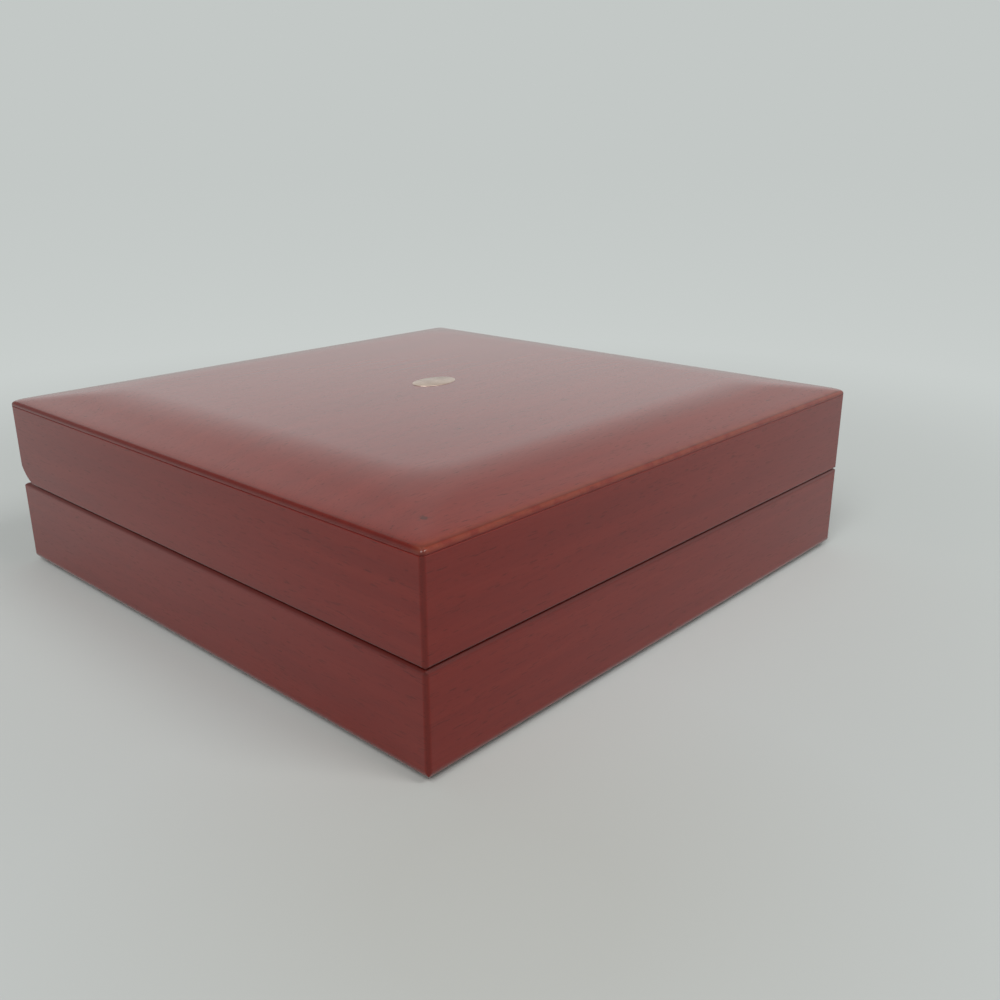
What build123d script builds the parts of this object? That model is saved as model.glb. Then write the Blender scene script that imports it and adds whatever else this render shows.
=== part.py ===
from build123d import *
import os

os.makedirs("parts", exist_ok=True)

# A square hinged wooden case that holds two stacked jewelry trays.
# Millimetres, +Z up, the front is -Y, the hinges are at the back, and the origin is the middle of the
# felt's underside.

# Case, outside
case_width = 190.0
case_depth = 190.0
base_height = 26.9
lid_side_height = 25.1
rim_gap = 0.2
corner_round = 1.2
wall = 13.0

# Edges that the router rounds on the glued-up halves
base_foot_round = 2.5
base_rim_round = 1.5
base_back_round = 3.5
lid_rim_round = 0.6
lid_back_round = 10.0
joint_line_round = 0.35

# Pillow top of the lid
panel_edge = 1.3
arris_round = 0.9
pillow_rise = 4.75
pillow_inset = 19.5
pillow_crest_radius = 67.0
panel_plug_depth = 4.0
panel_fit = 0.15

# Plain oval inlay in the middle of the lid
inlay_length = 16.0
inlay_width = 11.0
inlay_thickness = 1.0
inlay_fit = 0.05

# Bottom board and what is glued on it
bottom_thickness = 4.0
bottom_rebate = 2.0
bottom_fit = 0.1
felt_thickness = 0.8
felt_inset = 5.0
felt_corner = 4.0
floor_lining_thickness = 1.2
lining_fit = 0.2

# Padded lining inside the lid
pad_thickness = 5.0
pad_margin = 0.6
pad_corner = 5.0
pad_steps = ((0.030, 0.0), (0.0, 0.28), (0.030, 0.82), (0.170, 1.0))

# Hinges
hinge_inset = 3.5
hinge_end_inset = 25.0
hinge_length = 30.0
knuckle_count = 5
knuckle_radius = 2.0
knuckle_gap = 0.2
knuckle_clearance = 0.3
leaf_thickness = 1.2
leaf_setback = 0.8
leaf_fit = 0.15
pin_radius = 1.0
pin_fit = 0.05
pin_head_radius = 1.7
pin_head_length = 0.8
pin_head_chamfer = 0.4

# Hinge screws
screw_end_inset = 6.0
screw_head_radius = 1.9
screw_shank_radius = 1.0
screw_length = 8.0
screw_slot_width = 0.5
screw_slot_depth = 0.4
screw_fit = 0.05

# Catch magnets in the rims
magnet_end_inset = 30.0
magnet_radius = 3.0
magnet_thickness = 2.0
magnet_fit = 0.05

# Trays
tray_clearance = 1.5
tray_wall = 3.0
tray_floor_thickness = 3.0
tray_spigot = 1.5
tray_seat_gap = 0.2
tray_fit = 0.1
tray_edge_round = 1.0
lower_wall_height = 17.2
upper_wall_height = 13.8
divider_thickness = 2.4
divider_drop = 0.3
divider_fit = 0.1
lower_bays_across = 3
notch_width = 26.0
notch_depth = 7.0
notch_round = 4.0

# Layout of the upper tray, and its ring rolls
long_bay_width = 50.0
ring_bay_depth = 76.0
ring_roll_count = 7
ring_roll_height = 9.0
ring_roll_gap = 0.4
ring_roll_flat = 0.8

# Heights of the case
base_low = felt_thickness
base_rim = base_low + base_height
hinge_z = base_rim + rim_gap / 2
lid_rim = base_rim + rim_gap
panel_joint = lid_rim + lid_side_height
eave = panel_joint + panel_edge
lid_top = eave + pillow_rise
lid_ceiling = panel_joint - panel_plug_depth
floor_top = base_low + bottom_thickness + floor_lining_thickness

# Inside of the case
inner_width = case_width - 2 * wall
inner_depth = case_depth - 2 * wall

# Places of the hinges
hinge_y = case_depth / 2 - hinge_inset
hinge_right = case_width / 2 - hinge_end_inset - hinge_length / 2
hinge_x = {"left": -hinge_right, "right": hinge_right}
leaf_front = case_depth / 2 - wall + leaf_setback
leaf_back = hinge_y - knuckle_radius - knuckle_clearance
leaf_middle = (leaf_front + leaf_back) / 2
knuckle_pitch = hinge_length / knuckle_count
screw_spacing = hinge_length - 2 * screw_end_inset
screw_places = [
    (middle + side * screw_spacing / 2, leaf_middle) for middle in hinge_x.values() for side in (-1, 1)
]

# Places of the magnets
magnet_y = -case_depth / 2 + wall / 2
magnet_right = case_width / 2 - magnet_end_inset
magnet_places = [(-magnet_right, magnet_y), (magnet_right, magnet_y)]

# Places of the trays
tray_width = inner_width - 2 * tray_clearance
tray_depth = inner_depth - 2 * tray_clearance
bay_width = tray_width - 2 * tray_wall
bay_depth = tray_depth - 2 * tray_wall
lower_floor_low = floor_top + tray_seat_gap
lower_wall_low = lower_floor_low + tray_spigot
lower_wall_top = lower_wall_low + lower_wall_height
upper_wall_low = lower_wall_top + tray_seat_gap
upper_floor_low = upper_wall_low - tray_spigot
upper_wall_top = upper_wall_low + upper_wall_height

# How far a cutting shape reaches past what it cuts
cut_over = 1.0

SIDES = ("front", "right", "back", "left")
CORNERS = ((-1, -1), (1, -1), (1, 1), (-1, 1))
MAX_Z = (Align.CENTER, Align.CENTER, Align.MAX)
MIN_Z = (Align.CENTER, Align.CENTER, Align.MIN)


def corner(turn, width, depth, inset):
    """A corner of a width by depth rectangle, moved in along its mitre."""
    right, back = CORNERS[turn % len(CORNERS)]
    return (right * (width / 2 - inset), back * (depth / 2 - inset))


def mitre_wedge(side, width, depth, thickness, low, high):
    """The space of one side of a frame, between the mitres at its two ends."""
    turn = SIDES.index(side)
    outside, inside = -cut_over, thickness + cut_over
    with BuildPart() as wedge:
        with BuildSketch(Plane.XY.offset(low)):
            with BuildLine():
                Polyline(
                    corner(turn, width, depth, outside),
                    corner(turn + 1, width, depth, outside),
                    corner(turn + 1, width, depth, inside),
                    corner(turn, width, depth, inside),
                    close=True,
                )
            make_face()
        extrude(amount=high - low)
    return wedge.part


def case_half(low, high, low_round, high_round, low_back, high_back):
    """A solid half of the case, with its outer edges rounded by the profiles seen from two sides."""
    middle = (low + high) / 2
    with BuildPart() as half:
        with BuildSketch(Plane.XY.offset(low)):
            RectangleRounded(case_width, case_depth, corner_round)
        extrude(amount=high - low)
        with BuildSketch(Plane.XZ):
            with Locations((0, middle)):
                Rectangle(case_width, high - low)
            fillet(vertices().group_by(Axis.Y)[0], low_round)
            fillet(vertices().group_by(Axis.Y)[-1], high_round)
        extrude(amount=case_depth, both=True, mode=Mode.INTERSECT)
        with BuildSketch(Plane.YZ):
            with Locations((0, middle)):
                Rectangle(case_depth, high - low)
            fillet(vertices().group_by(Axis.Y)[0].sort_by(Axis.X)[0], low_round)
            fillet(vertices().group_by(Axis.Y)[0].sort_by(Axis.X)[-1], low_back)
            fillet(vertices().group_by(Axis.Y)[-1].sort_by(Axis.X)[0], high_round)
            fillet(vertices().group_by(Axis.Y)[-1].sort_by(Axis.X)[-1], high_back)
        extrude(amount=case_width, both=True, mode=Mode.INTERSECT)
    return half.part


def screw_form(places, face, outwards, fit):
    """Countersunk screws with their heads in the plane at face; fit makes the holes that take them."""
    plane = Plane(origin=(0, 0, face), x_dir=(1, 0, 0), z_dir=(0, 0, outwards))
    with BuildPart(plane) as screws:
        with Locations(*[(x, outwards * y) for x, y in places]):
            Cone(screw_shank_radius + fit, screw_head_radius + fit, leaf_thickness, align=MAX_Z)
            Cylinder(screw_shank_radius + fit, screw_length, align=MAX_Z)
    return screws.part


def hinge_cut(middle, face, outwards):
    """The mortise of one leaf, and the hollow for the barrel and the pin's heads."""
    barrel = hinge_length + 2 * (pin_head_length + knuckle_clearance)
    with BuildPart() as cut:
        with BuildSketch(Plane.XY.offset(face - outwards * cut_over)):
            with Locations((middle, (leaf_front - leaf_fit + hinge_y) / 2)):
                Rectangle(hinge_length + 2 * leaf_fit, hinge_y - leaf_front + leaf_fit)
        extrude(amount=outwards * (leaf_thickness + cut_over))
        with BuildSketch(Plane.YZ.offset(middle - barrel / 2)):
            with Locations((hinge_y, hinge_z)):
                Circle(knuckle_radius + knuckle_clearance)
        extrude(amount=barrel)
    return cut.part


def hinge_leaf(middle, face, outwards, own):
    """One leaf of a butt hinge: a plate flush with the rim, and its own knuckles of the barrel."""
    start = middle - hinge_length / 2
    plate_middle = face + outwards * leaf_thickness / 2
    with BuildPart() as leaf:
        with BuildSketch(Plane.XY.offset(face)):
            with Locations((middle, leaf_middle)):
                Rectangle(hinge_length, leaf_back - leaf_front)
        extrude(amount=outwards * leaf_thickness)
        for number in own:
            with BuildSketch(Plane.YZ.offset(start + number * knuckle_pitch + knuckle_gap / 2)):
                with Locations((hinge_y, hinge_z)):
                    Circle(knuckle_radius)
                with Locations(((leaf_middle + hinge_y) / 2, plate_middle)):
                    Rectangle(hinge_y - leaf_middle, leaf_thickness)
                with Locations((hinge_y, hinge_z)):
                    Circle(pin_radius + pin_fit, mode=Mode.SUBTRACT)
            extrude(amount=knuckle_pitch - knuckle_gap)
        holes = [place for place in screw_places if abs(place[0] - middle) < hinge_length / 2]
        add(screw_form(holes, face, -outwards, screw_fit), mode=Mode.SUBTRACT)
    return leaf.part


# Base: one hollow block, cut into four mitred rails
with BuildPart() as base_ring:
    add(case_half(base_low, base_rim, base_foot_round, base_rim_round, base_foot_round, base_back_round))
    with BuildSketch(Plane.XY.offset(base_low)):
        Rectangle(inner_width, inner_depth)
    extrude(amount=base_height, mode=Mode.SUBTRACT)
    with BuildSketch(Plane.XY.offset(base_low)):
        Rectangle(inner_width + 2 * bottom_rebate, inner_depth + 2 * bottom_rebate)
    extrude(amount=bottom_thickness, mode=Mode.SUBTRACT)
    for middle in hinge_x.values():
        add(hinge_cut(middle, base_rim, -1), mode=Mode.SUBTRACT)
    add(screw_form(screw_places, base_rim, 1, screw_fit), mode=Mode.SUBTRACT)
    with Locations(*[(x, y, base_rim) for x, y in magnet_places]):
        Cylinder(magnet_radius + magnet_fit, magnet_thickness, align=MAX_Z, mode=Mode.SUBTRACT)

for side in SIDES:
    wedge = mitre_wedge(side, case_width, case_depth, wall, base_low, base_rim)
    with BuildPart() as base_rail:
        add(base_ring.part)
        add(wedge, mode=Mode.INTERSECT)
    base_rail.part.label = f"base_{side}_rail"
    export_step(base_rail.part, f"parts/base_{side}_rail.step")

with BuildPart() as base_bottom_panel:
    with BuildSketch(Plane.XY.offset(base_low)):
        Rectangle(
            inner_width + 2 * (bottom_rebate - bottom_fit),
            inner_depth + 2 * (bottom_rebate - bottom_fit),
        )
    extrude(amount=bottom_thickness)
base_bottom_panel.part.label = "base_bottom_panel"
export_step(base_bottom_panel.part, "parts/base_bottom_panel.step")

with BuildPart() as base_felt:
    with BuildSketch():
        RectangleRounded(case_width - 2 * felt_inset, case_depth - 2 * felt_inset, felt_corner)
    extrude(amount=felt_thickness)
base_felt.part.label = "base_felt"
export_step(base_felt.part, "parts/base_felt.step")

with BuildPart() as base_floor_lining:
    with BuildSketch(Plane.XY.offset(base_low + bottom_thickness)):
        Rectangle(inner_width - 2 * lining_fit, inner_depth - 2 * lining_fit)
    extrude(amount=floor_lining_thickness)
base_floor_lining.part.label = "base_floor_lining"
export_step(base_floor_lining.part, "parts/base_floor_lining.step")

with BuildPart() as base_magnets:
    with Locations(*[(x, y, base_rim) for x, y in magnet_places]):
        Cylinder(magnet_radius, magnet_thickness, align=MAX_Z)
base_magnets.part.label = "base_magnets"
export_step(base_magnets.part, "parts/base_magnets.step")

# Lid: one hollow block, cut into four mitred rails
with BuildPart() as lid_ring:
    add(case_half(lid_rim, panel_joint, lid_rim_round, joint_line_round, lid_back_round, joint_line_round))
    with BuildSketch(Plane.XY.offset(lid_rim)):
        Rectangle(inner_width, inner_depth)
    extrude(amount=lid_side_height, mode=Mode.SUBTRACT)
    for middle in hinge_x.values():
        add(hinge_cut(middle, lid_rim, 1), mode=Mode.SUBTRACT)
    add(screw_form(screw_places, lid_rim, -1, screw_fit), mode=Mode.SUBTRACT)
    with Locations(*[(x, y, lid_rim) for x, y in magnet_places]):
        Cylinder(magnet_radius + magnet_fit, magnet_thickness, align=MIN_Z, mode=Mode.SUBTRACT)

for side in SIDES:
    wedge = mitre_wedge(side, case_width, case_depth, wall, lid_rim, panel_joint)
    with BuildPart() as lid_rail:
        add(lid_ring.part)
        add(wedge, mode=Mode.INTERSECT)
    lid_rail.part.label = f"lid_{side}_rail"
    export_step(lid_rail.part, f"parts/lid_{side}_rail.step")

# The top board: its two sections cross, so the four bevels meet in soft hips
with BuildPart() as lid_top_panel:
    with BuildSketch(Plane.XY.offset(panel_joint)):
        RectangleRounded(case_width, case_depth, corner_round)
    extrude(amount=lid_top - panel_joint)
    for plane, width, length in ((Plane.XZ, case_width, case_depth), (Plane.YZ, case_depth, case_width)):
        with BuildSketch(plane):
            with BuildLine():
                Polyline(
                    (-width / 2, panel_joint),
                    (width / 2, panel_joint),
                    (width / 2, eave),
                    (width / 2 - pillow_inset, lid_top),
                    (-width / 2 + pillow_inset, lid_top),
                    (-width / 2, eave),
                    close=True,
                )
            make_face()
            fillet(vertices().group_by(Axis.Y)[1], arris_round)
            fillet(vertices().group_by(Axis.Y)[-1], pillow_crest_radius)
            fillet(vertices().group_by(Axis.Y)[0], joint_line_round)
        extrude(amount=length, both=True, mode=Mode.INTERSECT)
    with BuildSketch(Plane.XY.offset(panel_joint)):
        Rectangle(inner_width - 2 * panel_fit, inner_depth - 2 * panel_fit)
    extrude(amount=-panel_plug_depth)
    with BuildSketch(Plane.XY.offset(lid_top)):
        Ellipse(inlay_length / 2, inlay_width / 2)
    extrude(amount=-inlay_thickness, mode=Mode.SUBTRACT)
lid_top_panel.part.label = "lid_top_panel"
export_step(lid_top_panel.part, "parts/lid_top_panel.step")

with BuildPart() as lid_inlay:
    with BuildSketch(Plane.XY.offset(lid_top)):
        Ellipse(inlay_length / 2 - inlay_fit, inlay_width / 2 - inlay_fit)
    extrude(amount=-inlay_thickness)
lid_inlay.part.label = "lid_inlay"
export_step(lid_inlay.part, "parts/lid_inlay.step")

# The padded lining: drawn in where it is glued, fullest a little below, and crowned in the middle
with BuildPart() as lid_lining:
    for inset, drop in pad_steps:
        with BuildSketch(Plane.XY.offset(lid_ceiling - drop * pad_thickness)):
            RectangleRounded(
                (inner_width - 2 * pad_margin) * (1 - 2 * inset),
                (inner_depth - 2 * pad_margin) * (1 - 2 * inset),
                pad_corner,
            )
    loft(ruled=True)
lid_lining.part.label = "lid_lining"
export_step(lid_lining.part, "parts/lid_lining.step")

with BuildPart() as lid_magnets:
    with Locations(*[(x, y, lid_rim) for x, y in magnet_places]):
        Cylinder(magnet_radius, magnet_thickness, align=MIN_Z)
lid_magnets.part.label = "lid_magnets"
export_step(lid_magnets.part, "parts/lid_magnets.step")

# Hinges: the base leaf holds the odd knuckles and the lid leaf the even ones
for name, middle in hinge_x.items():
    base_leaf = hinge_leaf(middle, base_rim, -1, range(0, knuckle_count, 2))
    base_leaf.label = f"{name}_hinge_base_leaf"
    export_step(base_leaf, f"parts/{name}_hinge_base_leaf.step")

    lid_leaf = hinge_leaf(middle, lid_rim, 1, range(1, knuckle_count, 2))
    lid_leaf.label = f"{name}_hinge_lid_leaf"
    export_step(lid_leaf, f"parts/{name}_hinge_lid_leaf.step")

    with BuildPart() as hinge_pin:
        with BuildSketch(Plane.YZ.offset(middle)):
            with Locations((hinge_y, hinge_z)):
                Circle(pin_radius)
        extrude(amount=hinge_length / 2, both=True)
        for end in (-1, 1):
            with BuildSketch(Plane.YZ.offset(middle + end * hinge_length / 2)):
                with Locations((hinge_y, hinge_z)):
                    Circle(pin_head_radius)
            extrude(amount=end * pin_head_length)
            chamfer(edges().sort_by(Axis.X)[-1 if end > 0 else 0], pin_head_chamfer)
    hinge_pin.part.label = f"{name}_hinge_pin"
    export_step(hinge_pin.part, f"parts/{name}_hinge_pin.step")

for name, face, outwards in (("base", base_rim, 1), ("lid", lid_rim, -1)):
    screws = screw_form(screw_places, face, outwards, 0)
    with BuildPart() as hinge_screws:
        add(screws)
        with Locations(*[(x, y, face) for x, y in screw_places]):
            Box(2 * screw_head_radius, screw_slot_width, 2 * screw_slot_depth, mode=Mode.SUBTRACT)
    hinge_screws.part.label = f"{name}_hinge_screws"
    export_step(hinge_screws.part, f"parts/{name}_hinge_screws.step")

# Trays: each has a floor whose lower half drops into what is below, and four mitred walls
for name, floor_low, wall_height in (
    ("lower_tray", lower_floor_low, lower_wall_height),
    ("upper_tray", upper_floor_low, upper_wall_height),
):
    wall_low = floor_low + tray_spigot
    wall_top = wall_low + wall_height
    with BuildPart() as tray_floor:
        with BuildSketch(Plane.XY.offset(floor_low)):
            Rectangle(bay_width - 2 * tray_fit, bay_depth - 2 * tray_fit)
        extrude(amount=tray_floor_thickness)
    tray_floor.part.label = f"{name}_floor"
    export_step(tray_floor.part, f"parts/{name}_floor.step")

    with BuildPart() as tray_ring:
        with BuildSketch(Plane.XY.offset(wall_low)):
            Rectangle(tray_width, tray_depth)
            Rectangle(bay_width, bay_depth, mode=Mode.SUBTRACT)
        extrude(amount=wall_height)
        fillet(faces().sort_by(Axis.Z)[-1].edges(), tray_edge_round)
        with BuildSketch(Plane.YZ):
            with Locations((0, wall_top)):
                Rectangle(notch_width, 2 * notch_depth)
            fillet(vertices().group_by(Axis.Y)[0], notch_round)
        extrude(amount=tray_width, both=True, mode=Mode.SUBTRACT)

    for side in SIDES:
        wedge = mitre_wedge(side, tray_width, tray_depth, tray_wall, wall_low, wall_top)
        with BuildPart() as tray_side:
            add(tray_ring.part)
            add(wedge, mode=Mode.INTERSECT)
        tray_side.part.label = f"{name}_{side}_wall"
        export_step(tray_side.part, f"parts/{name}_{side}_wall.step")

# Lower tray: four half-lapped dividers make nine compartments
lower_divider_low = lower_floor_low + tray_floor_thickness
lower_divider_top = upper_floor_low - divider_drop
lower_lap = (lower_divider_low + lower_divider_top) / 2
lap_width = divider_thickness + 2 * divider_fit
lower_divider_x = bay_width / 2 - bay_width / lower_bays_across
lower_divider_y = bay_depth / 2 - bay_depth / lower_bays_across
for name, side in (("left", -1), ("right", 1)):
    with BuildPart() as divider:
        with BuildSketch(Plane.XY.offset(lower_divider_low)):
            with Locations((side * lower_divider_x, 0)):
                Rectangle(divider_thickness, bay_depth - 2 * divider_fit)
        extrude(amount=lower_divider_top - lower_divider_low)
        with BuildSketch(Plane.XY.offset(lower_lap - divider_fit / 2)):
            with Locations(*[(side * lower_divider_x, back * lower_divider_y) for back in (-1, 1)]):
                Rectangle(2 * divider_thickness, lap_width)
        extrude(amount=lower_divider_top - lower_lap + divider_fit, mode=Mode.SUBTRACT)
    divider.part.label = f"lower_tray_{name}_divider"
    export_step(divider.part, f"parts/lower_tray_{name}_divider.step")

for name, side in (("front", -1), ("back", 1)):
    with BuildPart() as divider:
        with BuildSketch(Plane.XY.offset(lower_divider_low)):
            with Locations((0, side * lower_divider_y)):
                Rectangle(bay_width - 2 * divider_fit, divider_thickness)
        extrude(amount=lower_divider_top - lower_divider_low)
        with BuildSketch(Plane.XY.offset(lower_divider_low)):
            with Locations(*[(right * lower_divider_x, side * lower_divider_y) for right in (-1, 1)]):
                Rectangle(lap_width, 2 * divider_thickness)
        extrude(amount=lower_lap - lower_divider_low + divider_fit / 2, mode=Mode.SUBTRACT)
    divider.part.label = f"lower_tray_{name}_divider"
    export_step(divider.part, f"parts/lower_tray_{name}_divider.step")

# Upper tray: a long bay on the left, two square bays at the back right, and ring rolls at the front right
upper_divider_low = upper_floor_low + tray_floor_thickness
upper_divider_height = upper_wall_top - tray_edge_round - upper_divider_low
long_divider_x = -bay_width / 2 + long_bay_width + divider_thickness / 2
right_bay_left = long_divider_x + divider_thickness / 2
right_bay_width = bay_width / 2 - right_bay_left
right_bay_middle = (right_bay_left + bay_width / 2) / 2
cross_divider_y = -bay_depth / 2 + ring_bay_depth + divider_thickness / 2
back_bay_front = cross_divider_y + divider_thickness / 2
back_bay_depth = bay_depth / 2 - back_bay_front
back_bay_middle = (back_bay_front + bay_depth / 2) / 2

for name, place, size in (
    ("long_divider", (long_divider_x, 0), (divider_thickness, bay_depth - 2 * divider_fit)),
    (
        "cross_divider",
        (right_bay_middle, cross_divider_y),
        (right_bay_width - 2 * divider_fit, divider_thickness),
    ),
    (
        "short_divider",
        (right_bay_middle, back_bay_middle),
        (divider_thickness, back_bay_depth - 2 * divider_fit),
    ),
):
    with BuildPart() as divider:
        with BuildSketch(Plane.XY.offset(upper_divider_low)):
            with Locations(place):
                Rectangle(*size)
        extrude(amount=upper_divider_height)
    divider.part.label = f"upper_tray_{name}"
    export_step(divider.part, f"parts/upper_tray_{name}.step")

# Ring rolls: padded rolls side by side, with a slit between each two that holds the rings
ring_roll_pitch = ring_bay_depth / ring_roll_count
ring_roll_width = ring_roll_pitch - ring_roll_gap
for number in range(ring_roll_count):
    roll_y = -bay_depth / 2 + (number + 0.5) * ring_roll_pitch
    with BuildPart() as ring_roll:
        with BuildSketch(Plane.YZ.offset(right_bay_left + ring_roll_gap)):
            with Locations((roll_y, upper_divider_low + ring_roll_gap / 2 + ring_roll_height / 2)):
                Rectangle(ring_roll_width, ring_roll_height)
            fillet(vertices().group_by(Axis.Y)[-1], (ring_roll_width - ring_roll_flat) / 2)
        extrude(amount=right_bay_width - 2 * ring_roll_gap)
    ring_roll.part.label = f"ring_roll_{number + 1}"
    export_step(ring_roll.part, f"parts/ring_roll_{number + 1}.step")
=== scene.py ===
"""Looks of a square hinged wooden jewelry case that holds two stacked, velvet-lined trays.

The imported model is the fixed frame. This script gives every surface its finish, models the pieces that
need softer or finer forms than the frame has, and sets the floor, the light and the camera.
"""

from __future__ import annotations

import logging
import math
import random
from collections.abc import Callable, Iterable
from dataclasses import dataclass
from enum import Enum

import bmesh
import bpy
from bpy.types import Material, Node, NodeSocket, NodeTree
from mathutils import Matrix, Vector, noise


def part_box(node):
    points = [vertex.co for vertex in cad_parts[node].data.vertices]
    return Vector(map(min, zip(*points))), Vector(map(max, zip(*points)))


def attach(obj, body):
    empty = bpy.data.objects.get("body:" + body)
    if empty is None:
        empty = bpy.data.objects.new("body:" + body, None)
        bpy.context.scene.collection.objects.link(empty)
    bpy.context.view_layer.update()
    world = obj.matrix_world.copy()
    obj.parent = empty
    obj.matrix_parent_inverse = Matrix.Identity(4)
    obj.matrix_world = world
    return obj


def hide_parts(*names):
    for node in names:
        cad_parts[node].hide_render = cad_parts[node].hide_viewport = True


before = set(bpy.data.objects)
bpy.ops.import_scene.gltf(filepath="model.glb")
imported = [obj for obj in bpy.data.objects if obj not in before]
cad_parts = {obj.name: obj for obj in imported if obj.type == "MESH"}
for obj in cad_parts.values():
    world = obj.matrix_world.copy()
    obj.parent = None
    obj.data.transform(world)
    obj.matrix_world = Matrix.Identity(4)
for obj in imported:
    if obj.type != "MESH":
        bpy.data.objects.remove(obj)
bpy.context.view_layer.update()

log = logging.getLogger("jewelry_case")

MM = 0.001
# Points closer than this count as one place
NEAR = 0.01 * MM
SIDES = ("front", "right", "back", "left")


class Grain(Enum):
    """The direction that the wood's fibres run in."""

    ALONG_X = 0.0
    ALONG_Y = 90.0


def linear(hex_colour: str) -> tuple[float, float, float, float]:
    """Turns an sRGB hex colour into the linear colour that shaders take.

    Args:
        hex_colour: six hex digits with a leading hash.

    Returns:
        Red, green and blue in linear light, and an alpha of 1.
    """
    parts = [int(hex_colour[i : i + 2], 16) / 255 for i in (1, 3, 5)]
    red, green, blue = (c / 12.92 if c <= 0.04045 else ((c + 0.055) / 1.055) ** 2.4 for c in parts)
    return (red, green, blue, 1.0)


def add_node(
    tree: NodeTree,
    kind: str,
    inputs: dict | None = None,
    stops: Iterable[tuple[float, str]] = (),
    **settings: object,
) -> Node:
    """Adds one shader node with its settings, its values and its links.

    Args:
        tree: the node tree that gets the node.
        kind: the node's type name, without ShaderNode before it.
        inputs: for each input, a value, an output, or a node whose first output is meant.
        stops: position and hex colour of each stop, on a colour ramp.
        settings: properties of the node itself.

    Returns:
        The new node.
    """
    new = tree.nodes.new("ShaderNode" + kind)
    for name, value in settings.items():
        setattr(new, name, value)
    for key, value in (inputs or {}).items():
        if isinstance(value, Node):
            value = value.outputs[0]
        if isinstance(value, NodeSocket):
            tree.links.new(value, new.inputs[key])
        else:
            new.inputs[key].default_value = value
    stops = list(stops)
    while stops and len(new.color_ramp.elements) < len(stops):
        new.color_ramp.elements.new(0.5)
    for element, (position, colour) in zip(new.color_ramp.elements if stops else (), stops):
        element.position = position
        element.color = linear(colour)
    return new


def limits(span: tuple[float, float], result: tuple[object, object] = (0.0, 1.0)) -> dict[str, object]:
    """Gives a range node's inputs: where its value starts and ends, and what the node gives there."""
    return dict(zip(("From Min", "From Max", "To Min", "To Max"), (*span, *result)))


def new_material(name: str) -> tuple[Material, NodeTree]:
    """Makes an empty node material.

    Args:
        name: the finish's plain name.

    Returns:
        The material and its node tree.
    """
    material = bpy.data.materials.new(name)
    material.use_nodes = True
    tree = material.node_tree
    tree.nodes.clear()
    return material, tree


def soft_least(a: float, b: float, blend: float) -> float:
    """Gives the lesser of two values, rounded off where they are within the blend of each other."""
    overlap = max(blend - abs(a - b), 0.0)
    return min(a, b) - (overlap * overlap / (4 * blend) if blend > 0 else 0.0)


@dataclass(frozen=True)
class CaseEdges:
    """Where the case's outer edges are, in millimetres, for the stain, painted shade and painted highlight
    on an edge.
    """

    half: float
    seam: float
    joint: float
    eave: float

    @classmethod
    def from_frame(cls, pillow_rise: float) -> CaseEdges:
        """Reads the edges from the frame's nodes.

        Args:
            pillow_rise: how far the top board rises above its arris, in metres.

        Returns:
            The edges.
        """
        base, lid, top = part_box("base_front_rail"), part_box("lid_front_rail"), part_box("lid_top_panel")
        return cls(
            half=top[1].x / MM,
            seam=(base[1].z + lid[0].z) / 2 / MM,
            joint=lid[1].z / MM,
            eave=(top[1].z - pillow_rise) / MM,
        )


@dataclass(frozen=True)
class EdgeBands:
    """How wide the bands of stain and of painted shade and highlight are, in millimetres.

    A pair says how far inside an outer face, or above the joint, the band starts and is full. Four numbers
    say where it starts, is full, starts to fade and is gone, from the seam or the eave upwards.
    """

    outside: tuple[float, float] = (2.4, 1.2)
    # The corner band darkens the vertical corners with stain and painted shade
    corner: tuple[float, float] = (1.15, 0.7)
    front: tuple[float, float] = (4.5, 1.0)
    side: tuple[float, float] = (1.6, 1.0)
    joint: tuple[float, float] = (0.2, 0.5)
    # The seam band is painted shade on the base's rim under the lid's lower edge
    seam: tuple[float, float, float, float] = (-1.7, -0.8, 0.4, 0.9)
    # The line band is a painted shade line along the crease where the arris round meets the bevel
    line: tuple[float, float, float, float] = (0.05, 0.16, 0.26, 0.5)
    arris_fade: float = 0.12
    rubbed_and_highlight_fade: float = 1.3


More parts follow.
